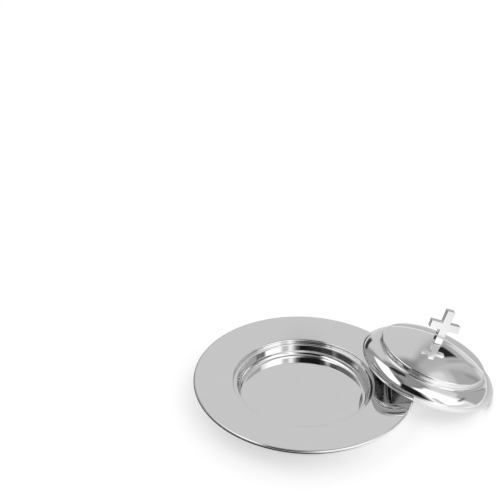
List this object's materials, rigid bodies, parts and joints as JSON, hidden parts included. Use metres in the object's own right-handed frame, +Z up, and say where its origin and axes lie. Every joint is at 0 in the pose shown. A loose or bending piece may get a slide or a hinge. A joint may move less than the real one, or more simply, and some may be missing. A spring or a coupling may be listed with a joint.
{
  "type": "communion bread plate",
  "caption": "Wide-rimmed round plate with a deep stepped well, and a domed cover with an upright cross, laid leaning over the rim.",
  "frame": {"origin": "on the table, under the centre of the plate, on the flat underside of its well", "axes": "+Z up along the plate's axis, +X to the right of the picture towards the leaning cover, +Y away from the viewer"},
  "size_m": [0.3431, 0.25, 0.1007],
  "materials": {
    "polished_steel_plate": "mirror-polished stainless steel",
    "polished_steel_cover": "mirror-polished stainless steel",
    "polished_steel_cross": "mirror-polished stainless steel",
    "satin_steel": "satin stainless steel"
  },
  "bodies": {
    "plate": {"plate": "polished_steel_plate"},
    "cover": {"cover": "polished_steel_cover", "cross": "polished_steel_cross", "flat_washer": "satin_steel", "lock_washer": "satin_steel", "screw": "satin_steel"}
  },
  "joints": [
    {"name": "cover_lift", "type": "slide", "parent": "plate", "child": "cover", "axis": [0, 0, 1], "range_m": [0, 0.15]}
  ]
}
